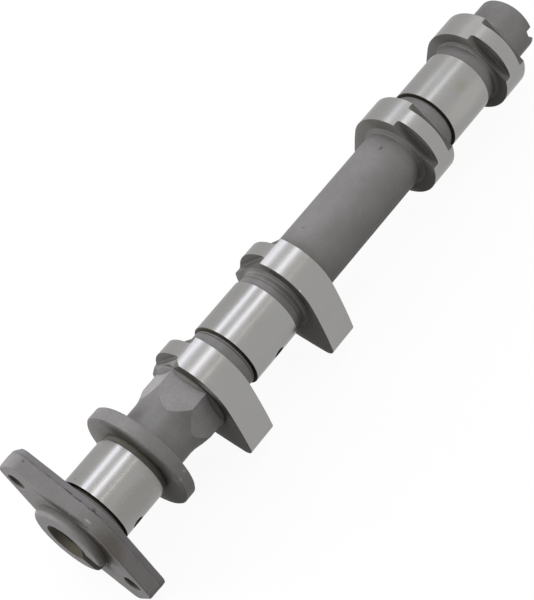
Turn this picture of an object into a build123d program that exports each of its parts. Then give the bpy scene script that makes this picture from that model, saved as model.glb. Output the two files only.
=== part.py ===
from build123d import *
import math
import os

# A one-piece cast camshaft for a twin-cylinder engine with two valves a cylinder on this shaft.
# Millimetres and degrees. X runs along the shaft from the sprocket flange's front face to the
# far end, and Z is up as the shaft lies. Angles turn about X, from +Y towards +Z.

# timing: where each feature points, told from the first cylinder's cam nose
noseAngle = 216.1
secondCylinderTurn = 90.0
flangeTurn = -0.7
boltTurn = -7.35
hubSlotTurn = -14.0
oilHoleTurn = -24.0
partingTurn = 57.5
endSlotTurn = -49.0

# sprocket flange: a disc with two opposite ears
flangeThickness = 6.7
partingDepth = 4.6
partingShift = 0.2
flangeDraft = 2.0
flangeRadius = 16.0
earReach = 28.6
earTaper = 21.3
earCorner = 3.4
castRound = 0.5
boltCircle = 44.2
boltTapRadius = 3.0
boltMouthRadius = 3.25
boltMouthDepth = 0.25

# hub in front of the flange
hubLength = 3.4
hubRadius = 12.75
hubRound = 1.5
hubRoot = 0.5
boreRadius = 5.1
boreMouthRadius = 7.3
galleryEnd = 88.0
hubSlotWidth = 6.5
hubSlotDepth = 2.5

# bearing journals
journalRadius = 12.0
firstJournalStart = 9.1
firstJournalWidth = 16.5
journalWidth = 19.4
journalShift = 0.3
shoulderRadius = 12.5
shoulderLength = 1.2
shoulderEasing = 0.6
undercutRadius = 10.6
undercutWidth = 0.75
oilHoleRadius = 2.0
firstOilHole = 13.9
oilHoleShift = 1.1

# thrust collar and the hexagon for a spanner
collarStart = 27.8
collarWidth = 4.3
collarRadius = 18.7
collarBevel = 0.35
collarNeckRadius = 11.2
stampNeckRadius = 10.75
hexAcrossFlats = 22.0
hexEnd = 53.4
hexConeStart = 42.2
hexConeAngle = 22.4
hexConeRound = 9.0
hexRimRadius = 12.7
hexRimWidth = 0.8
hexRimRise = 0.8
hexRunOut = 1.6

# cam lobes
firstCylinder = 80.25
cylinderPitch = 106.0
valveSpacing = 41.8
lobeWidth = 10.6
trackWidth = 5.45
baseRadius = 15.7
noseRadius = 3.25
noseCentre = 22.05
flankRadius = 142.0
reliefFloor = 12.5
reliefFillet = 0.7

# plain lengths of shaft between lobes and journals
innerNeckRadius = 11.1
outerNeckRadius = 11.5
neckFillet = 0.9
longShaftRadius = 10.65
longShaftFillet = 1.2

# far end
stubRadius = 10.5
stubEnd = 226.0
stubBevel = 0.5
stubFillet = 0.8
cupRadius = 7.6
cupDepth = 9.0
endSlotWidth = 5.2
endSlotDepth = 2.8

# places that follow from the sizes above
firstJournalEnd = firstJournalStart + firstJournalWidth
collarEnd = collarStart + collarWidth
cylinders = [firstCylinder, firstCylinder + cylinderPitch]
noses = [noseAngle, noseAngle + secondCylinderTurn]
hexCorner = hexAcrossFlats / math.sqrt(3)
halfLobe = lobeWidth / 2
halfValves = valveSpacing / 2
reliefDepth = (lobeWidth - trackWidth) / 2
bigReach = 4 * earReach


def across(x):
    # a drawing plane square to the shaft, with +Y to its right and +Z up it
    return Plane(origin=(x, 0, 0), x_dir=(0, 1, 0), z_dir=(1, 0, 0))


def rod(start, end, radius):
    return extrude(across(start) * Circle(radius), amount=end - start)


def turned(points):
    # a solid of revolution about the shaft, from (place along it, radius) corners
    corners = [(x, 0, r) for x, r in points]
    return revolve(make_face(Polyline(*corners, close=True)), axis=Axis.X)


def sector(angle, turn=0.0):
    return Rot(angle + turn, 0, 0)


def flangeOutline():
    # the ears' sides touch the disc, so the outline is a hull of disc and tips
    lean = math.radians(90 - earTaper)
    halfTip = (flangeRadius - earReach * math.cos(lean)) / math.sin(lean)
    touchX, touchY = flangeRadius * math.cos(lean), flangeRadius * math.sin(lean)
    ears = Polyline(
        (earReach, -halfTip), (earReach, halfTip), (touchX, touchY), (-touchX, touchY),
        (-earReach, halfTip), (-earReach, -halfTip), (-touchX, -touchY), (touchX, -touchY),
        close=True)
    plate = make_face(ears)
    tips = [v for v in plate.vertices() if abs(abs(v.X) - earReach) < castRound]
    return fillet(tips, earCorner) + Circle(flangeRadius)


def flange():
    # cast in two halves of a mould, so both faces draw in a little from the parting line,
    # where the back half has slipped a little to one side
    middle = across(partingDepth) * flangeOutline()
    front = extrude(middle, amount=-partingDepth, taper=flangeDraft)
    back = extrude(middle, amount=flangeThickness - partingDepth, taper=flangeDraft)
    front = fillet(front.faces().sort_by(Axis.X)[0].outer_wire().edges(), castRound)
    back = fillet(back.faces().sort_by(Axis.X)[-1].outer_wire().edges(), castRound)
    slip = sector(partingTurn) * Pos(0, partingShift, 0) * sector(-partingTurn)
    return sector(noseAngle, flangeTurn) * (front + slip * back)


def hub():
    boss = rod(-hubLength, 0, hubRadius)
    boss = fillet(boss.edges().filter_by(GeomType.CIRCLE).sort_by(Axis.X)[0], hubRound)
    root = turned([(0, 0), (0, hubRadius + hubRoot), (-hubRoot, hubRadius), (-hubRoot, 0)])
    return boss + root


def camOutline():
    # base circle, two long flanks and a nose, each arc running smoothly into the next
    reachBase = flankRadius - baseRadius
    reachNose = flankRadius - noseRadius
    alongNose = (reachBase ** 2 - reachNose ** 2 + noseCentre ** 2) / (2 * noseCentre)
    offAxis = math.sqrt(reachBase ** 2 - alongNose ** 2)
    centre = Vector(alongNose, -offAxis)
    nose = Vector(noseCentre, 0)
    onBase = centre - centre.normalized() * flankRadius
    onNose = centre + (nose - centre).normalized() * flankRadius
    middle = centre + ((onBase + onNose) * 0.5 - centre).normalized() * flankRadius
    below = [Vector(p.X, -p.Y) for p in (onBase, middle, onNose)]
    return make_face([
        ThreePointArc(onBase, Vector(-baseRadius, 0), below[0]),
        ThreePointArc(below[0], below[1], below[2]),
        ThreePointArc(below[2], Vector(noseCentre + noseRadius, 0), onNose),
        ThreePointArc(onNose, middle, onBase)])


def lobe(centre, angle):
    body = extrude(across(-halfLobe) * camOutline(), amount=lobeWidth)
    # flat reliefs on the base circle leave a narrower track there
    relief = Box(reliefDepth + baseRadius, baseRadius, 4 * baseRadius)
    inner = relief.edges().filter_by(Axis.Z).group_by(Axis.X)[0].sort_by(Axis.Y)[-1]
    relief = fillet(inner, reliefFillet)
    toSide = trackWidth / 2 + (reliefDepth + baseRadius) / 2
    toFloor = reliefFloor + baseRadius / 2
    near = Pos(toSide, -toFloor, 0) * relief
    far = Plane.YZ
    return Pos(centre, 0, 0) * sector(angle) * (body - near - mirror(near, about=far))


def runOut():
    # where the hexagon's cutter ran into the first lobe, opposite its nose
    near = firstCylinder - halfValves - halfLobe
    wide = 2 * baseRadius
    slope = Polyline((near, -hexAcrossFlats / 2), (near + hexRunOut, -reliefFloor),
                     (near + hexRunOut, -wide), (near, -wide), close=True)
    return sector(noseAngle) * extrude(make_face(slope), amount=wide, both=True)


def lobes():
    made = []
    for middle, nose in zip(cylinders, noses):
        for side in (-halfValves, halfValves):
            made.append(lobe(middle + side, nose))
    made[0] = made[0] - runOut()
    return made


def hexagon():
    # flats on a turned shaft that tapers down to the neck
    rise = hexRimRadius - stampNeckRadius
    coneEnd = hexConeStart + rise / math.tan(math.radians(hexConeAngle))
    blank = turned([(collarEnd, 0), (collarEnd, stampNeckRadius), (hexConeStart, stampNeckRadius),
                    (coneEnd, hexRimRadius), (hexEnd, hexRimRadius), (hexEnd, 0)])
    foot = [e for e in blank.edges().filter_by(GeomType.CIRCLE)
            if abs(e.center().X - hexConeStart) < hexRimRise and e.radius > stampNeckRadius / 2]
    blank = fillet(foot, hexConeRound)
    flats = across(0) * RegularPolygon(hexAcrossFlats / 2, 6, major_radius=False)
    turn = sector(noseAngle, 30)
    prism = turn * extrude(flats, amount=hexEnd)
    ramp = hexEnd - hexRimRise
    rim = turned([(ramp, 0), (ramp, hexAcrossFlats / 2), (hexEnd, hexRimRadius),
                  (hexEnd + hexRimWidth, hexRimRadius), (hexEnd + hexRimWidth, 0)])
    return (blank & prism) + rim


def journals():
    made = [rod(firstJournalStart, firstJournalEnd, journalRadius)]
    for middle in cylinders:
        centre = middle + journalShift
        made.append(rod(centre - journalWidth / 2, centre + journalWidth / 2, journalRadius))
    return made


def necks():
    # shoulder, undercuts and the turned necks beside the journals
    shoulder = flangeThickness + shoulderLength
    made = [turned([(flangeThickness / 2, 0), (flangeThickness / 2, shoulderRadius),
                    (shoulder, shoulderRadius),
                    (shoulder + shoulderEasing, undercutRadius),
                    (firstJournalStart, undercutRadius), (firstJournalStart, 0)]),
            rod(firstJournalEnd, collarStart, collarNeckRadius)]
    for middle in cylinders:
        start = middle + journalShift - journalWidth / 2
        end = middle + journalShift + journalWidth / 2
        made.append(rod(middle - halfValves, start - undercutWidth, innerNeckRadius))
        made.append(rod(start - undercutWidth, start, undercutRadius))
        made.append(rod(end, middle + halfValves, outerNeckRadius))
    return made


def collar():
    disc = rod(collarStart, collarEnd, collarRadius)
    return chamfer(disc.edges().filter_by(GeomType.CIRCLE), collarBevel)


def fillAt(x, radius, size, away):
    # a concave easing in two slopes against a wall at x; away is +1 or -1, its side of the wall
    easing = size * (1 - math.sqrt(0.5))
    return turned([(x - away * size, radius - size), (x - away * size, radius + easing),
                   (x, radius + size), (x + away * easing, radius + easing),
                   (x + away * size, radius), (x + away * size, radius - size)])


def neckFills():
    made = [fillAt(collarEnd, stampNeckRadius, neckFillet, 1)]
    for middle in cylinders:
        made.append(fillAt(middle - halfValves + halfLobe, innerNeckRadius, neckFillet, 1))
        made.append(fillAt(middle + halfValves - halfLobe, outerNeckRadius, neckFillet, -1))
    longStart = cylinders[0] + halfValves + halfLobe
    longEnd = cylinders[1] - halfValves - halfLobe
    made.append(fillAt(longStart, longShaftRadius, longShaftFillet, 1))
    made.append(fillAt(longEnd, longShaftRadius, longShaftFillet, -1))
    made.append(fillAt(cylinders[1] + halfValves + halfLobe, stubRadius, stubFillet, 1))
    return made


def stub():
    end = rod(cylinders[1] + halfValves, stubEnd, stubRadius)
    return chamfer(end.edges().filter_by(GeomType.CIRCLE).sort_by(Axis.X)[-1], stubBevel)


def hubBore():
    # a 45 degree mouth leads into the oil gallery, which stops past the second oil hole
    mouth = boreMouthRadius - boreRadius
    hole = turned([(-hubLength, 0), (-hubLength, boreMouthRadius),
                   (-hubLength + mouth, boreRadius), (galleryEnd, boreRadius),
                   (galleryEnd + boreRadius / math.sqrt(3), 0)])
    return hole


def hubSlot():
    cut = Box(2 * hubSlotDepth, bigReach, hubSlotWidth, align=(Align.CENTER, Align.MIN, Align.CENTER))
    return sector(noseAngle, hubSlotTurn) * Pos(-hubLength, 0, 0) * cut


def boltHoles():
    hole = rod(-hubLength, flangeThickness + hubLength, boltTapRadius)
    mouth = turned([(0, 0), (0, boltMouthRadius), (boltMouthDepth, boltTapRadius),
                    (boltMouthDepth, 0)])
    one = Pos(0, boltCircle / 2, 0) * (hole + mouth)
    return [sector(noseAngle, boltTurn + half) * one for half in (0, 180)]


def oilHoles():
    places = [firstOilHole, cylinders[0] + journalShift + oilHoleShift]
    hole = Rot(-90, 0, 0) * Cylinder(oilHoleRadius, 2 * journalRadius,
                                     align=(Align.CENTER, Align.CENTER, Align.MIN))
    return [Pos(x, 0, 0) * sector(noseAngle, oilHoleTurn) * hole for x in places]


def endCup():
    cup = rod(stubEnd - cupDepth, stubEnd, cupRadius)
    slot = Box(2 * endSlotDepth, bigReach, endSlotWidth,
               align=(Align.CENTER, Align.MIN, Align.CENTER))
    return [cup, sector(noseAngle, endSlotTurn) * Pos(stubEnd, 0, 0) * slot]


def camshaft():
    core = rod(0, stubEnd - cupDepth, longShaftRadius)
    solids = [hub(), flange(), collar(), hexagon(), stub()]
    solids += journals() + necks() + neckFills() + lobes()
    body = core.fuse(*solids) if hasattr(core, "fuse") else core
    cuts = [hubBore(), hubSlot()] + boltHoles() + oilHoles() + endCup()
    for cut in cuts:
        body = body - cut
    return body


os.makedirs("parts", exist_ok=True)
shaft = camshaft()
print("volume", shaft.volume, "solids", len(shaft.solids()), "box", shaft.bounding_box())
export_step(shaft, "parts/camshaft.step")
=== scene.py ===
import bmesh
import bpy
import math
from mathutils import Matrix, Vector


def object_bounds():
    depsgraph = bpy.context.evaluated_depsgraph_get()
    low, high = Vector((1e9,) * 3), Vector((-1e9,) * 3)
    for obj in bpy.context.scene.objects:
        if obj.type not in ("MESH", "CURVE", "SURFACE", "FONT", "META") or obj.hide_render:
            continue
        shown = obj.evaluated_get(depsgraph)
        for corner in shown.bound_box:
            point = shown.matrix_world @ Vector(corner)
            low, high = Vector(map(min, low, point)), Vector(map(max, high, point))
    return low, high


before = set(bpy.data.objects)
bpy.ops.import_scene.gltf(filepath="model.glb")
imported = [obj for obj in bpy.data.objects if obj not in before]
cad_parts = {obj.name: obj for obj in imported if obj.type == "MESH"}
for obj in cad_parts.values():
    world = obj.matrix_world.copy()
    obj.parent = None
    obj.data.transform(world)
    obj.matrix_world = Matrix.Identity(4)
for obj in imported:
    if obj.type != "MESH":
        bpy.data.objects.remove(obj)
lowest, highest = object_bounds()
print("stage: camshaft loaded")

# Where the camera stands and how it is turned, in metres. Its lens and sensor are in millimetres.
cameraSeat = {
    "eye": (-0.099143, -0.187663, 0.431767),
    "right": (0.599442, -0.796257, -0.081515),
    "down": (-0.705458, -0.477464, -0.523791),
    "ahead": (0.378152, 0.371488, -0.847938),
    "lens": 99.633,
    "sensorHeight": 36.0,
    "sees": (0.01, 10.0),  # nearest and furthest
}


def placeCamera(seat):
    lensData = bpy.data.cameras.new("shopCamera")
    lensData.sensor_fit = "VERTICAL"
    lensData.sensor_height = seat["sensorHeight"]
    lensData.lens = seat["lens"]
    lensData.clip_start, lensData.clip_end = seat["sees"]
    camera = bpy.data.objects.new("shopCamera", lensData)
    right, down, ahead = (Vector(seat[k]).normalized() for k in ("right", "down", "ahead"))
    turn = Matrix((right, -down, -ahead)).transposed().to_4x4()
    camera.matrix_world = Matrix.Translation(seat["eye"]) @ turn
    bpy.context.scene.collection.objects.link(camera)
    bpy.context.scene.camera = camera


placeCamera(cameraSeat)
print("stage: camera placed")


# Small helpers for wiring nodes.
def addNode(tree, kind, **settings):
    node = tree.nodes.new(kind)
    for key, value in settings.items():
        setattr(node, key, value)
    return node


def wire(tree, source, target):
    tree.links.new(source, target)


def feed(tree, slot, value):  # a plain value is set on the slot, and a socket is wired to it
    if isinstance(value, (int, float, tuple)):
        slot.default_value = value
    else:
        wire(tree, value, slot)


def mathStep(tree, operation, *values, clamp=False):
    node = addNode(tree, "ShaderNodeMath", operation=operation, use_clamp=clamp)
    for slot, value in zip(node.inputs, values):
        feed(tree, slot, value)
    return node.outputs[0]


def mixTones(tree, share, first, second):
    return mathStep(tree, "ADD", mathStep(tree, "MULTIPLY", first, share),
                    mathStep(tree, "MULTIPLY", second, 1 - share))


def vectorStep(tree, operation, first, second):
    node = addNode(tree, "ShaderNodeVectorMath", operation=operation)
    feed(tree, node.inputs[0], first)
    feed(tree, node.inputs[1], second)
    return node.outputs


def splitPlace(tree, place):
    node = addNode(tree, "ShaderNodeSeparateXYZ")
    wire(tree, place, node.inputs["Vector"])
    return node.outputs


def addNoise(tree, place, scale, detail=2.0, rough=0.5):
    node = addNode(tree, "ShaderNodeTexNoise")
    node.inputs["Detail"].default_value = detail
    node.inputs["Roughness"].default_value = rough
    feed(tree, node.inputs["Scale"], scale)
    wire(tree, place, node.inputs["Vector"])
    return node.outputs["Fac"]


def ramp(tree, value, low, high, outLow=0.0, outHigh=1.0):
    node = addNode(tree, "ShaderNodeMapRange")
    for key, number in (("From Min", low), ("From Max", high),
                        ("To Min", outLow), ("To Max", outHigh)):
        node.inputs[key].default_value = number
    wire(tree, value, node.inputs["Value"])
    return node.outputs["Result"]


def blendColour(tree, amount, first, second, kind="MIX"):
    node = addNode(tree, "ShaderNodeMix", data_type="RGBA", blend_type=kind)
    for key, value in (("Factor", amount), ("A", first), ("B", second)):
        feed(tree, node.inputs[key], value)
    return node.outputs["Result"]


def newMaterial(name):
    made = bpy.data.materials.new(name)
    made.use_nodes = True
    tree = made.node_tree
    shader = tree.nodes["Principled BSDF"]
    place = addNode(tree, "ShaderNodeTexCoord").outputs["Object"]
    return made, tree, shader, place


def bumped(tree, shader, height, strength, distance, base=None):
    node = addNode(tree, "ShaderNodeBump")
    if base is not None:
        wire(tree, base, node.inputs["Normal"])
    node.inputs["Strength"].default_value = strength
    node.inputs["Distance"].default_value = distance
    wire(tree, height, node.inputs["Height"])
    wire(tree, node.outputs["Normal"], shader.inputs["Normal"])


def newGroup(name, takes, gives):
    group = bpy.data.node_groups.new(name, "ShaderNodeTree")
    for way, sockets in (("INPUT", takes), ("OUTPUT", gives)):
        for label, kind in sockets.items():
            group.interface.new_socket(name=label, in_out=way, socket_type="NodeSocket" + kind)
    inner, outer = addNode(group, "NodeGroupInput"), addNode(group, "NodeGroupOutput")
    return group, inner.outputs, outer.inputs


def placeGroup(tree, group, **values):
    node = addNode(tree, "ShaderNodeGroup", node_tree=group)
    for label, value in values.items():
        feed(tree, node.inputs[label], value)
    return node.outputs


# Effects that several finishes share, and how each one looks wherever it is placed.
sharedEffects = {
    "grainDetail": 3.0,
    "cloudDetail": 4.0,
    "skinRough": 0.6,
    "lineDetail": 4.0,
    "lineRough": 0.7,
    "hemmedIn": (0.25, 0.95),
    "creased": (0.35, 0.85),
    "creaseShare": 0.75,
    "raggedScale": 1500.0,
    "raggedShare": 0.8,
    "markEdge": (0.9, 1.6),
}


def grainGroup(look):  # the skin of the metal: a fine grain and a slow cloud over it
    group, takes, gives = newGroup(
        "metalSkin", {"Place": "Vector", "GrainScale": "Float", "CloudScale": "Float"},
        {"Grain": "Float", "Cloud": "Float"})
    for label, scale, detail in (("Grain", "GrainScale", look["grainDetail"]),
                                 ("Cloud", "CloudScale", look["cloudDetail"])):
        skin = addNoise(group, takes["Place"], takes[scale], detail, look["skinRough"])
        wire(group, skin, gives[label])
    return group


def toolGroup(look):  # fine lines left by a cutting tool, along a barrel and round a faced side
    group, takes, gives = newGroup("toolLines", {"Place": "Vector", "LinesPerMetre": "Float"},
                                   {"Along": "Float", "Round": "Float"})
    parts = splitPlace(group, takes["Place"])
    across = mathStep(group, "POWER", parts["Y"], 2.0)
    upright = mathStep(group, "POWER", parts["Z"], 2.0)
    radius = mathStep(group, "SQRT", mathStep(group, "ADD", across, upright))
    for label, way in (("Along", parts["X"]), ("Round", radius)):
        node = addNode(group, "ShaderNodeTexNoise", noise_dimensions="1D")
        node.inputs["Detail"].default_value = look["lineDetail"]
        node.inputs["Roughness"].default_value = look["lineRough"]
        wire(group, way, node.inputs["W"])
        wire(group, takes["LinesPerMetre"], node.inputs["Scale"])
        wire(group, node.outputs["Fac"], gives[label])
    return group


def hollowShadeGroup(look):  # painted shade: browns and darkens the metal where it is hemmed in, most of all in a crease
    group, takes, gives = newGroup(
        "oilFilm", {"Colour": "Color", "Openness": "Float", "Crease": "Float", "Film": "Color"},
        {"Colour": "Color"})
    depth = ramp(group, takes["Openness"], *look["hemmedIn"], 1.0, 0.0)
    colour = blendColour(group, depth, takes["Colour"], takes["Film"], "MULTIPLY")
    creased = ramp(group, takes["Crease"], *look["creased"], look["creaseShare"], 0.0)
    wire(group, blendColour(group, creased, colour, takes["Film"], "MULTIPLY"), gives["Colour"])
    return group


def markAndPaintedLightGroup(look):  # one small patch at a place, for a blemish and for painted shade and highlight alike, 1 inside and fading at its ragged edge
    group, takes, gives = newGroup(
        "markAndPaintedLightPatch", {"Place": "Vector", "Centre": "Vector", "Reach": "Vector"},
        {"Mask": "Float"})
    ragged = addNoise(group, takes["Place"], look["raggedScale"])
    away = vectorStep(group, "SUBTRACT", takes["Place"], takes["Centre"])["Vector"]
    share = vectorStep(group, "DIVIDE", away, takes["Reach"])["Vector"]
    size = addNode(group, "ShaderNodeVectorMath", operation="LENGTH")
    wire(group, share, size.inputs[0])
    edge = mathStep(group, "ADD", size.outputs["Value"],
                    mathStep(group, "MULTIPLY", ragged, look["raggedShare"]))
    wire(group, ramp(group, edge, *look["markEdge"], 1.0, 0.0), gives["Mask"])
    return group


metalSkin, toolLines = grainGroup(sharedEffects), toolGroup(sharedEffects)
oilFilm, markAndPaintedLightPatch = hollowShadeGroup(sharedEffects), markAndPaintedLightGroup(sharedEffects)
print("stage: shared effects made")


# Each patch is laid over the colour: pits, nicks and stains, and patches of painted shade and
# highlight.
def addMarksAndPaintedLight(tree, place, colour, marksAndPaintedLight):
    for patch in marksAndPaintedLight:
        mask = placeGroup(tree, markAndPaintedLightPatch, Place=place, Centre=patch["at"], Reach=patch["reach"])
        share = mathStep(tree, "MULTIPLY", mask["Mask"], patch["share"])
        colour = blendColour(tree, share, colour, patch["colour"])
    return colour


def addRingLinesAndShade(tree, place, colour, ringLinesAndShade):  # single thin lines right round the shaft, each in its own colour; the one at the hub's root is painted shade
    x = splitPlace(tree, place)["X"]
    for ring in ringLinesAndShade:
        off = mathStep(tree, "ABSOLUTE", mathStep(tree, "SUBTRACT", x, ring["x"]))
        share = ramp(tree, off, ring["halfWidth"], ring["halfWidth"] * 2, ring["share"], 0.0)
        colour = blendColour(tree, share, colour, ring["colour"])
    return colour


# Journals and cam tracks, finish-ground round the shaft.
groundFinish = {
    "pale": (0.32, 0.317, 0.308, 1),
    "dull": (0.3, 0.296, 0.286, 1),
    "rim": (0.76, 0.76, 0.76, 1),
    "roughness": (0.23, 0.28),
    "cloud": 110.0,
    "linesPerMetre": 2600.0,
    "lineShare": 0.35,
    "toneRange": (0.3, 0.7),
    "lineStrength": 0.12,
    "lineDepth": 0.0000006,
    "marksAndPaintedLight": (
        {"at": (0.18865, -0.00635, 0.01018), "reach": (0.0026, 0.0022, 0.0022), "share": 0.45,
         "colour": (0.27, 0.262, 0.19, 1)},
        {"at": (0.09612, -0.01007, 0.01202), "reach": (0.00025, 0.0005, 0.0005), "share": 0.8,
         "colour": (0.55, 0.55, 0.55, 1)},
        {"at": (0.01054, 0.0065, 0.01008), "reach": (0.0004, 0.0005, 0.0005), "share": 0.5,
         "colour": (0.12, 0.12, 0.12, 1)},
        # painted shade: a darker patch along the first journal's -Y side
        {"at": (0.017, -0.0105, 0.006), "reach": (0.014, 0.0035, 0.0065), "share": 0.5,
         "colour": (0.2, 0.195, 0.182, 1)},
        # painted highlight: a paler patch along the third journal's -Y side
        {"at": (0.1865, -0.0097, 0.0071), "reach": (0.014, 0.003, 0.004), "share": 0.4,
         "colour": (0.43, 0.42, 0.4, 1)},
    ),
}


def barrelNormal(tree, place):  # straight out from the shaft's line, so a barrel shines evenly
    out = vectorStep(tree, "MULTIPLY", place, (0, 1, 1))["Vector"]
    turned = addNode(tree, "ShaderNodeVectorTransform", vector_type="NORMAL",
                     convert_from="OBJECT", convert_to="WORLD")
    wire(tree, out, turned.inputs["Vector"])
    return turned.outputs["Vector"]


def groundSteel(name, finish, barrel):
    made, tree, shader, place = newMaterial(name)
    lines = placeGroup(tree, toolLines, Place=place, LinesPerMetre=finish["linesPerMetre"])["Along"]
    cloud = placeGroup(tree, metalSkin, Place=place, CloudScale=finish["cloud"])["Cloud"]
    tone = mixTones(tree, finish["lineShare"], lines, cloud)
    colour = blendColour(tree, ramp(tree, tone, *finish["toneRange"]), finish["dull"],
                         finish["pale"])
    roughness = ramp(tree, tone, *finish["toneRange"], *finish["roughness"])
    wire(tree, addMarksAndPaintedLight(tree, place, colour, finish["marksAndPaintedLight"]), shader.inputs["Base Color"])
    wire(tree, roughness, shader.inputs["Roughness"])
    shader.inputs["Metallic"].default_value = 1.0
    shader.inputs["Specular Tint"].default_value = finish["rim"]
    bumped(tree, shader, lines, finish["lineStrength"], finish["lineDepth"],
           barrelNormal(tree, place) if barrel else None)
    return made


# The ragged line where the two halves of the mould met on the flange's edge.
mouldParting = {
    "x": 0.0047,
    "wander": 0.0013,
    "wanderScale": 520.0,
    "wanderDetail": 4.0,
    "wanderRough": 0.65,
    "halfWidth": 0.00016,
    "fade": (0.5, 1.5),  # shares of halfWidth where it starts to fade and is gone
    "breakScale": 300.0,
    "breakRange": (0.42, 0.58),
    "breakShare": (0.05, 0.95),
    "earsFrom": (0.007, 0.0115),
    "earShare": 0.25,  # the line is fainter out on the ears
    "flangeBack": 0.0067,
    "rearEdge": 0.0001,
    "line": (0.05, 0.047, 0.045, 1),
    "rear": (0.9, 0.9, 0.94, 1),
}


def partingLine(tree, place, colour, mould):
    parts = splitPlace(tree, place)
    slow = addNoise(tree, place, mould["wanderScale"], mould["wanderDetail"],
                    mould["wanderRough"])
    quick = addNoise(tree, place, mould["breakScale"])
    onLine = mathStep(tree, "ADD", parts["X"],
                      mathStep(tree, "MULTIPLY", slow, mould["wander"]))
    off = mathStep(tree, "SUBTRACT", onLine, mould["x"] + mould["wander"] / 2)
    onFlange = mathStep(tree, "LESS_THAN", parts["X"], mould["flangeBack"])
    behind = mathStep(tree, "MULTIPLY",
                      ramp(tree, off, -mould["rearEdge"], mould["rearEdge"]), onFlange)
    colour = blendColour(tree, behind, colour, mould["rear"], "MULTIPLY")
    narrow, wide = (mould["halfWidth"] * share for share in mould["fade"])
    near = ramp(tree, mathStep(tree, "ABSOLUTE", off), narrow, wide, 1.0, 0.0)
    broken = mathStep(tree, "MULTIPLY", near,
                      ramp(tree, quick, *mould["breakRange"], *mould["breakShare"]))
    strength = ramp(tree, mathStep(tree, "ABSOLUTE", parts["Y"]), *mould["earsFrom"], 1.0,
                    mould["earShare"])
    broken = mathStep(tree, "MULTIPLY", broken, strength)
    return blendColour(tree, mathStep(tree, "MULTIPLY", broken, onFlange), colour, mould["line"])


# A pit on the collar's corner, which runs over both its rim and its side.
collarPit = {"at": (0.0278, 0.01066, 0.01285), "reach": (0.0005, 0.0004, 0.0004), "share": 0.8,
             "colour": (0.04, 0.04, 0.04, 1)}

# Blasted cast iron on everything that isn't cut, with a few pits and nicks, and painted shade at
# the hub's root and on the flange's lower side.
castFinish = {
    "pale": (0.236, 0.231, 0.231, 1),
    "dark": (0.18, 0.177, 0.171, 1),
    "paintedShade": (0.36, 0.34, 0.27, 1),
    "shadeReach": 0.009,
    "roughness": (0.44, 0.58),
    "metallic": 0.16,
    "grain": 2400.0,
    "grainDepth": 0.00002,
    "grainShare": 0.45,
    "parting": mouldParting,
    "ringLinesAndShade": (
        # painted shade: a dark ring in the crease at the hub's root
        {"x": -0.00035, "halfWidth": 0.00017, "share": 0.6, "colour": (0.06, 0.055, 0.05, 1)},
    ),
    "marksAndPaintedLight": (
        {"at": (0.00503, 0.02156, 0.01883), "reach": (0.0005, 0.0007, 0.0007), "share": 0.8,
         "colour": (0.05, 0.047, 0.045, 1)},
        {"at": (0.0056, 0.0226, 0.0174), "reach": (0.0004, 0.0009, 0.0009), "share": 0.6,
         "colour": (0.06, 0.057, 0.055, 1)},
        {"at": (0.00359, 0.01728, 0.0208), "reach": (0.0004, 0.0004, 0.0004), "share": 0.7,
         "colour": (0.1, 0.07, 0.04, 1)},
        collarPit,
        {"at": (0.11616, 0.00352, 0.01003), "reach": (0.0005, 0.0005, 0.0005), "share": 0.5,
         "colour": (0.08, 0.08, 0.08, 1)},
        {"at": (0.15383, 0.00083, 0.0106), "reach": (0.0007, 0.0004, 0.0004), "share": 0.75,
         "colour": (0.05, 0.05, 0.05, 1)},
        {"at": (0.00007, -0.00175, 0.01565), "reach": (0.0003, 0.0005, 0.0004), "share": 0.65,
         "colour": (0.42, 0.42, 0.42, 1)},
        {"at": (0.00163, -0.00689, 0.01431), "reach": (0.0004, 0.0013, 0.0008), "share": 0.7,
         "colour": (0.4, 0.4, 0.4, 1)},
        {"at": (0.03086, -0.01681, 0.00818), "reach": (0.0004, 0.0004, 0.0006), "share": 0.8,
         "colour": (0.4, 0.4, 0.4, 1)},
        {"at": (0.02842, -0.0173, 0.00705), "reach": (0.0005, 0.0006, 0.0008), "share": 0.7,
         "colour": (0.34, 0.34, 0.34, 1)},
        # painted shade: a brown darkening on the flange's -Y side
        {"at": (0.0005, -0.0140, 0.0070), "reach": (0.0045, 0.005, 0.009), "share": 0.5,
         "colour": (0.11, 0.095, 0.07, 1)},
        # painted shade: a dark band on the flange's face above the hub's root
        {"at": (0.0, 0.0005, 0.0143), "reach": (0.0006, 0.01, 0.0022), "share": 0.75,
         "colour": (0.05, 0.047, 0.042, 1)},
        {"at": (0.00473, 0.0018, 0.01674), "reach": (0.0003, 0.0009, 0.0006), "share": 0.6,
         "colour": (0.05, 0.047, 0.045, 1)},
        {"at": (0.0047, -0.00171, 0.01586), "reach": (0.0004, 0.0006, 0.0006), "share": 0.6,
         "colour": (0.05, 0.047, 0.045, 1)},
        {"at": (0.00512, -0.0062, 0.01452), "reach": (0.0005, 0.0007, 0.0007), "share": 0.6,
         "colour": (0.05, 0.047, 0.045, 1)},
    ),
}

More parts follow.
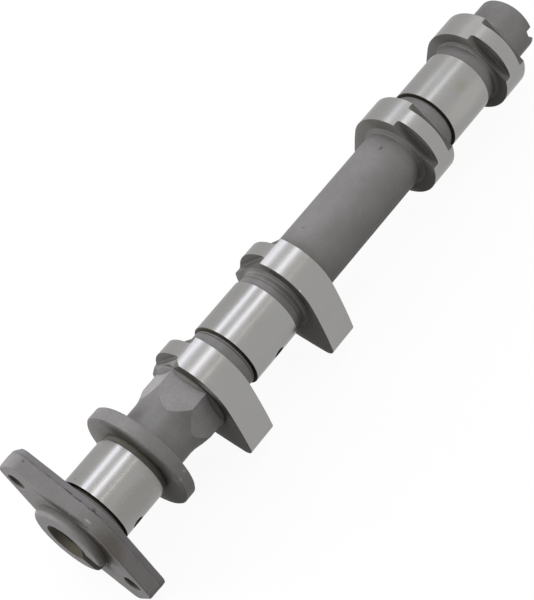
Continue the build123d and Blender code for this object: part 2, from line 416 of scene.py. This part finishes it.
# Necks and the far end, turned in a lathe before hardening.
turnedFinish = {
    "pale": (0.222, 0.218, 0.216, 1),
    "dark": (0.158, 0.155, 0.15, 1),
    "paintedShade": (0.45, 0.43, 0.36, 1),
    "shadeReach": 0.003,
    "roughness": (0.33, 0.44),
    "metallic": 0.27,
    "grain": 2000.0,
    "grainDepth": 0.00001,
    "grainShare": 0.2,
    "linesPerMetre": 1500.0,
    "lineShare": 0.34,
    "ringLinesAndShade": (
        {"x": 0.0267, "halfWidth": 0.0007, "share": 0.4, "colour": (0.34, 0.325, 0.285, 1)},
        {"x": 0.06945, "halfWidth": 0.00012, "share": 0.75, "colour": (0.06, 0.057, 0.05, 1)},
        {"x": 0.0929, "halfWidth": 0.0001, "share": 0.7, "colour": (0.07, 0.067, 0.06, 1)},
        {"x": 0.0948, "halfWidth": 0.00015, "share": 0.5, "colour": (0.34, 0.33, 0.31, 1)},
        {"x": 0.1722, "halfWidth": 0.0001, "share": 0.5, "colour": (0.3, 0.3, 0.31, 1)},
    ),
}

# Sides of the lobes and the collar, faced square to the shaft, with painted shade in their corners.
facedFinish = {
    "pale": (0.235, 0.23, 0.227, 1),
    "dark": (0.196, 0.192, 0.185, 1),
    "paintedShade": (0.4, 0.38, 0.3, 1),
    "shadeReach": 0.012,
    "roughness": (0.42, 0.55),
    "metallic": 0.08,
    "grain": 2000.0,
    "grainDepth": 0.00001,
    "grainShare": 0.3,
    "linesPerMetre": 900.0,
    "lineShare": 0.3,
    "lineWay": "Round",
    "marksAndPaintedLight": (
        collarPit,
        # painted shade: dark patches on the near sides of the lobes and the collar, beside the
        # necks
        {"at": (0.09585, -0.004, 0.0136), "reach": (0.002, 0.0075, 0.0035), "share": 0.8,
         "colour": (0.035, 0.033, 0.028, 1)},
        {"at": (0.09585, -0.0098, 0.0099), "reach": (0.002, 0.005, 0.0055), "share": 0.75,
         "colour": (0.035, 0.033, 0.028, 1)},
        {"at": (0.05405, -0.001, 0.0142), "reach": (0.002, 0.007, 0.003), "share": 0.75,
         "colour": (0.035, 0.033, 0.028, 1)},
        {"at": (0.05405, -0.0125, 0.0065), "reach": (0.002, 0.005, 0.006), "share": 0.35,
         "colour": (0.035, 0.033, 0.028, 1)},
        {"at": (0.0278, 0.0015, 0.0132), "reach": (0.002, 0.009, 0.0038), "share": 0.65,
         "colour": (0.035, 0.031, 0.024, 1)},
        {"at": (0.0278, -0.0092, 0.0102), "reach": (0.002, 0.006, 0.006), "share": 0.6,
         "colour": (0.035, 0.031, 0.024, 1)},
        {"at": (0.16005, 0.006, 0.0135), "reach": (0.002, 0.011, 0.005), "share": 0.35,
         "colour": (0.04, 0.035, 0.027, 1)},
        {"at": (0.20185, 0.008, 0.0115), "reach": (0.002, 0.011, 0.006), "share": 0.45,
         "colour": (0.04, 0.035, 0.027, 1)},
    ),
}

# Reliefs milled into the backs of the lobes: their floors, fillets and steps.
milledFinish = {
    "pale": (0.15, 0.147, 0.14, 1),
    "dark": (0.104, 0.101, 0.095, 1),
    "paintedShade": (0.36, 0.34, 0.27, 1),
    "shadeReach": 0.006,
    "roughness": (0.3, 0.45),
    "metallic": 0.12,
    "grain": 1800.0,
    "grainDepth": 0.00001,
    "grainShare": 0.2,
    "linesPerMetre": 700.0,
    "lineShare": 0.5,
}

# Flats of the hexagon, left paler and sparkling by the blast.
flatFinish = {
    "pale": (0.335, 0.33, 0.334, 1),
    "dark": (0.2, 0.197, 0.197, 1),
    "paintedShade": (0.4, 0.38, 0.31, 1),
    "shadeReach": 0.0015,
    "roughness": (0.36, 0.5),
    "metallic": 0.06,
    "grain": 3800.0,
    "grainDepth": 0.00003,
    "grainShare": 0.6,
}

# The oil gallery and the slot across the hub, brown with oil and darkened further as painted shade
# deep inside.
oilyShadedFinish = {
    "pale": (0.095, 0.087, 0.07, 1),
    "dark": (0.058, 0.052, 0.04, 1),
    "paintedShade": (0.4, 0.37, 0.3, 1),
    "shadeReach": 0.008,
    "roughness": (0.34, 0.5),
    "metallic": 0.1,
    "grain": 1500.0,
    "grainDepth": 0.00002,
    "grainShare": 0.4,
}

# What all the dull finishes have in common.
dullSkin = {
    "cloud": 160.0,
    "toneRange": (0.32, 0.68),
    "cloudRange": (0.3, 0.7),
    "creaseReach": 0.0013,
    "openSamples": 8,
    "specular": 0.02,
    "tint": (0.6, 0.6, 0.6, 1),
    "bump": 0.5,
}


def openness(tree, reach, samples):
    node = addNode(tree, "ShaderNodeAmbientOcclusion", samples=samples, only_local=True)
    node.inputs["Distance"].default_value = reach
    return node.outputs["AO"]


def dullIron(name, finish, shared):
    made, tree, shader, place = newMaterial(name)
    skin = placeGroup(tree, metalSkin, Place=place, GrainScale=finish["grain"],
                      CloudScale=shared["cloud"])
    height = skin["Grain"]
    tone = mixTones(tree, finish["grainShare"], skin["Grain"], skin["Cloud"])
    if "lineShare" in finish:
        lines = placeGroup(tree, toolLines, Place=place, LinesPerMetre=finish["linesPerMetre"])
        height = lines[finish.get("lineWay", "Along")]
        tone = mixTones(tree, finish["lineShare"], height, tone)
    colour = blendColour(tree, ramp(tree, tone, *shared["toneRange"]), finish["dark"],
                         finish["pale"])
    if "parting" in finish:
        colour = partingLine(tree, place, colour, finish["parting"])
    colour = addRingLinesAndShade(tree, place, colour, finish.get("ringLinesAndShade", ()))
    colour = addMarksAndPaintedLight(tree, place, colour, finish.get("marksAndPaintedLight", ()))
    # painted shade in the hollows and creases, found from how hemmed in each point is by the shaft
    # itself
    paintedShade = placeGroup(tree, oilFilm, Colour=colour, Film=finish["paintedShade"],
                      Openness=openness(tree, finish["shadeReach"], shared["openSamples"]),
                      Crease=openness(tree, shared["creaseReach"], shared["openSamples"]))
    roughness = ramp(tree, skin["Cloud"], *shared["cloudRange"], *finish["roughness"])
    wire(tree, paintedShade["Colour"], shader.inputs["Base Color"])
    wire(tree, roughness, shader.inputs["Roughness"])
    shader.inputs["Metallic"].default_value = finish["metallic"]
    shader.inputs["Specular IOR Level"].default_value = shared["specular"]
    shader.inputs["Specular Tint"].default_value = shared["tint"]
    bumped(tree, shader, height, shared["bump"], finish["grainDepth"])
    return made


mmPerMetre = 1000

# Which faces of the one casting carry which finish, by their place on the shaft. Lengths are in
# millimetres, turns in degrees, and a lean is how far a face's normal points along the shaft.
facePlaces = {
    "journals": ((9.1, 25.6), (70.85, 90.25), (176.85, 196.25)),
    "journalRadius": 12.0,
    "journalFacet": 0.06,
    "journalSlack": 0.6,
    "lobes": ((54.05, 64.65), (95.85, 106.45), (160.05, 170.65), (201.85, 212.45)),
    "lobeSide": -0.03,
    "baseRadius": 15.7,
    "baseSlack": 0.15,
    "reliefFloor": 12.5,
    "reliefSlack": 0.1,
    "necks": ((25.6, 27.8), (32.1, 48.0), (64.65, 70.85), (90.25, 95.85), (170.65, 176.85),
              (196.25, 201.85), (212.45, 226.1)),
    "hexagon": ((42.0, 53.5),),
    "hexFlat": 11.0,
    "hexSlack": 0.05,
    "hexTurn": 36.1,
    "hexStep": 60.0,
    "hexTurnSlack": 1.0,
    "faced": ((27.0, 213.0),),
    "galleryMouth": 7.4,
    "galleryEnd": 90.0,
    "slotFloor": (-1.0, -0.8),
    "slotHalf": 3.25,
    "slotSlack": 0.1,
    "slotReach": 13.0,
    "barrelLean": 0.1,
    "neckLean": 0.8,
    "endLean": 0.9,
    "facedLean": 0.95,
}


def inside(x, ranges, spare=0.05):
    return any(a - spare < x < b + spare for a, b in ranges)


def onHexFlat(face, x, away, places):
    turn = math.degrees(math.atan2(face.normal.z, face.normal.y)) - places["hexTurn"]
    halfStep = places["hexStep"] / 2
    offFlat = abs((turn + halfStep) % places["hexStep"] - halfStep)
    return (inside(x, places["hexagon"]) and offFlat < places["hexTurnSlack"]
            and abs(away - places["hexFlat"]) < places["hexSlack"])


def isOilyShaded(x, across, away, lean, places):
    floorFront, floorBack = places["slotFloor"]
    inGallery = across < places["galleryMouth"] and x < places["galleryEnd"]
    onSlotWall = (x < floorBack and lean < places["barrelLean"]
                  and abs(away - places["slotHalf"]) < places["slotSlack"])
    onSlotFloor = (floorFront < x < floorBack and lean > places["endLean"]
                   and across < places["slotReach"])
    return (inGallery and (lean < places["endLean"] or x > 0)) or onSlotWall or onSlotFloor


def finishOf(face, places):
    x, across = face.center.x * mmPerMetre, face.center.yz.length * mmPerMetre
    away = face.center.dot(face.normal) * mmPerMetre  # from the shaft's line to the face's plane
    lean = abs(face.normal.x)
    onBarrel = lean < places["barrelLean"]
    if isOilyShaded(x, across, away, lean, places):
        return "oilyShadedIron"
    if inside(x, places["journals"]):
        if across > places["journalRadius"] - places["journalFacet"]:
            return "groundJournal"
        if onBarrel and away > places["journalRadius"] - places["journalSlack"]:
            return "groundJournal"
    if onBarrel and inside(x, places["lobes"]) and (
            away > places["baseRadius"] - places["baseSlack"]):
        return "groundCam"
    if onBarrel and onHexFlat(face, x, away, places):
        return "blastedFlat"
    if inside(x, places["lobes"], places["lobeSide"]) and (
            across > places["reliefFloor"] - places["reliefSlack"]):
        return "milledIron"
    if lean > places["facedLean"] and inside(x, places["faced"]):
        return "facedIron"
    onNeck = lean < places["neckLean"] and inside(x, places["necks"])
    return "turnedIron" if onNeck else "castIron"


def dress(shaft):
    dullFinishes = {"castIron": castFinish, "turnedIron": turnedFinish, "facedIron": facedFinish,
                    "milledIron": milledFinish, "blastedFlat": flatFinish,
                    "oilyShadedIron": oilyShadedFinish}
    order = ["groundJournal", "groundCam"] + list(dullFinishes)
    mesh = shaft.data
    mesh.materials.clear()
    mesh.materials.append(groundSteel("groundJournal", groundFinish, barrel=True))
    mesh.materials.append(groundSteel("groundCam", groundFinish, barrel=False))
    for name, finish in dullFinishes.items():
        mesh.materials.append(dullIron(name, finish, dullSkin))
    for face in mesh.polygons:
        face.material_index = order.index(finishOf(face, facePlaces))


dress(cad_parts["camshaft"])
print("stage: finishes applied")

# Floor and lamps, in metres and degrees. A strip's angle is measured round the shaft from +Y
# towards +Z, and a lamp's glow is the brightness of its face.
studio = {
    "floorHalf": 3.0,
    "floorTone": 0.21,
    "white": (1, 1, 1, 1),
    "whiteShare": 0.92,
    "worldFar": (0.78, 0.77, 0.75, 1),
    "worldNear": (0.045, 0.043, 0.034, 1),
    "worldWay": (0.62, 0.5, 0.6),
    "worldRange": (-0.55, 0.8),
    "stripDistance": 0.95,
    "strips": (
        {"name": "keyStrip", "angle": 48.0, "slant": 12.0, "middle": 0.29, "size": (0.8, 0.22),
         "glow": 2.5, "tint": (0.86, 0.865, 1.0)},
        {"name": "topStrip", "angle": 83.0, "slant": 9.0, "middle": 0.31, "size": (0.9, 0.17),
         "glow": 2.85, "tint": (0.9, 0.9, 1.0)},
        {"name": "thinStrip", "angle": 110.5, "slant": 3.0, "middle": 0.1, "size": (0.8, 0.035),
         "glow": 3.0, "tint": (1.0, 0.95, 0.82)},
        {"name": "nearStripA", "angle": 58.0, "slant": 6.0, "middle": -0.75, "size": (0.8, 0.2),
         "glow": 2.0, "tint": (0.93, 0.93, 1.0), "fills": False},
        {"name": "nearStripB", "angle": 104.0, "slant": 6.0, "middle": -0.75, "size": (0.8, 0.15),
         "glow": 2.2, "tint": (0.95, 0.95, 1.0), "fills": False},
        {"name": "farStripA", "angle": 52.0, "slant": 6.0, "middle": 1.45, "size": (0.8, 0.2),
         "glow": 2.0, "tint": (0.93, 0.93, 1.0), "fills": False},
        {"name": "farStripB", "angle": 94.0, "slant": 6.0, "middle": 1.45, "size": (0.8, 0.15),
         "glow": 2.2, "tint": (0.95, 0.95, 1.0), "fills": False},
    ),
    "panels": (
        {"name": "sidePanel", "from": (-0.24, 0.27, 0.12), "aim": (0.03, 0, 0),
         "size": (0.3, 0.22), "glow": 8.6, "tint": (0.99, 0.975, 1.0)},
        {"name": "farPanel", "from": (0.75, -0.5, 0.35), "aim": (0.2, 0, 0),
         "size": (0.5, 0.5), "glow": 2.5, "tint": (1.0, 0.985, 0.96)},
        {"name": "topPanel", "from": (0.45, 0.5, 1.15), "aim": (0.3, 0, 0),
         "size": (1.2, 1.5), "glow": 0.25, "tint": (0.98, 0.965, 1.0), "streak": True},
    ),
}


def areaLamp(plan, seat):
    lamp = bpy.data.lights.new(plan["name"], "AREA")
    lamp.shape = "RECTANGLE"
    lamp.size, lamp.size_y = plan["size"]
    lamp.energy = plan["glow"] * plan["size"][0] * plan["size"][1] * math.pi
    lamp.color = plan["tint"]
    holder = bpy.data.objects.new(plan["name"], lamp)
    holder.matrix_world = seat
    bpy.context.scene.collection.objects.link(holder)
    return holder


def addStrip(plan, room):
    turn, slant = math.radians(plan["angle"]), math.radians(plan["slant"])
    out = Vector((0, math.cos(turn), math.sin(turn)))
    sideways = Vector((0, -math.sin(turn), math.cos(turn)))
    along = Vector((math.cos(slant), 0, 0)) - sideways * math.sin(slant)
    spin = Matrix((along, out.cross(along), out)).transposed().to_4x4()
    place = Vector((plan["middle"], 0, 0)) + out * room["stripDistance"]
    strip = areaLamp(plan, Matrix.Translation(place) @ spin)
    strip.visible_diffuse = plan.get("fills", True)  # the end strips only put streaks on steel


def addPanel(plan):
    way = (Vector(plan["aim"]) - Vector(plan["from"])).to_track_quat("-Z", "Y")
    panel = areaLamp(plan, Matrix.Translation(plan["from"]) @ way.to_matrix().to_4x4())
    panel.visible_glossy = plan.get("streak", False)  # most panels only fill the dull faces


def seenDirectly(tree):  # 1 for the camera, for mirror-like finishes and through glass
    path = addNode(tree, "ShaderNodeLightPath").outputs
    twoWays = mathStep(tree, "ADD", path["Is Camera Ray"], path["Is Glossy Ray"])
    return mathStep(tree, "ADD", twoWays, path["Is Transmission Ray"], clamp=True)


def mixShaders(tree, amount, first, second):
    node = addNode(tree, "ShaderNodeMixShader")
    feed(tree, node.inputs["Fac"], amount)
    wire(tree, first.outputs[0], node.inputs[1])
    wire(tree, second.outputs[0], node.inputs[2])
    return node


def floorPaint(room):  # white where it is seen, and duller for the light that it throws back
    finish = bpy.data.materials.new("paleFloor")
    finish.use_nodes = True
    tree = finish.node_tree
    tree.nodes.clear()
    matt = addNode(tree, "ShaderNodeBsdfDiffuse")
    matt.inputs["Color"].default_value = (room["floorTone"],) * 3 + (1,)
    seen = addNode(tree, "ShaderNodeBsdfDiffuse")
    seen.inputs["Color"].default_value = room["white"]
    pale = mixShaders(tree, room["whiteShare"], seen, addNode(tree, "ShaderNodeEmission"))
    both = mixShaders(tree, seenDirectly(tree), matt, pale)
    paint = addNode(tree, "ShaderNodeOutputMaterial")
    wire(tree, both.outputs[0], paint.inputs["Surface"])
    return finish


def paleFloor(room):
    mesh = bpy.data.meshes.new("floor")
    sheet = bmesh.new()
    bmesh.ops.create_grid(sheet, x_segments=1, y_segments=1, size=room["floorHalf"],
                          matrix=Matrix.Translation((0, 0, lowest[2])))
    sheet.to_mesh(mesh)
    sheet.free()
    mesh.materials.append(floorPaint(room))
    made = bpy.data.objects.new("floor", mesh)
    bpy.context.scene.collection.objects.link(made)


def softWorld(room):
    world = bpy.data.worlds.new("studio")
    world.use_nodes = True
    tree = world.node_tree
    glow = tree.nodes["Background"]
    way = addNode(tree, "ShaderNodeTexCoord").outputs["Generated"]
    towards = vectorStep(tree, "DOT_PRODUCT", way, room["worldWay"])["Value"]
    soft = blendColour(tree, ramp(tree, towards, *room["worldRange"]), room["worldNear"],
                       room["worldFar"])
    seen = blendColour(tree, seenDirectly(tree), soft, room["white"])
    wire(tree, seen, glow.inputs["Color"])
    bpy.context.scene.world = world


paleFloor(studio)
for strip in studio["strips"]:
    addStrip(strip, studio)
for panel in studio["panels"]:
    addPanel(panel)
softWorld(studio)
bpy.context.scene.view_settings.view_transform = "Standard"
print("stage: floor and lamps placed")
